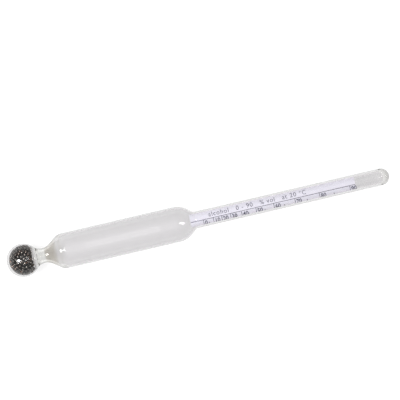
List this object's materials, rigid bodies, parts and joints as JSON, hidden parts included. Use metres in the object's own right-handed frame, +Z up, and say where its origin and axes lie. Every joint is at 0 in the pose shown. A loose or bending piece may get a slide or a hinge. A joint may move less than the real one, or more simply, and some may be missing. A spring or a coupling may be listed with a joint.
{
  "type": "alcoholometer",
  "caption": "Sealed glass float with a weighted bulb, a cylindrical body and a thin stem whose rolled paper scale reads the strength of spirit.",
  "frame": {"origin": "on the surface it lies on, under the middle of its length", "axes": "+X along the axis from the bulb to the stem's tip, +Z up"},
  "size_m": [0.18, 0.0162, 0.0162],
  "materials": {
    "clear_glass": "polished",
    "shot_metal": "satin",
    "clear_resin": "gloss",
    "scale_paper": "matte"
  },
  "bodies": {
    "root": {"glass_envelope": "clear_glass", "ballast_shot": "shot_metal", "shot_binder": "clear_resin", "paper_scale": "scale_paper"}
  },
  "joints": []
}
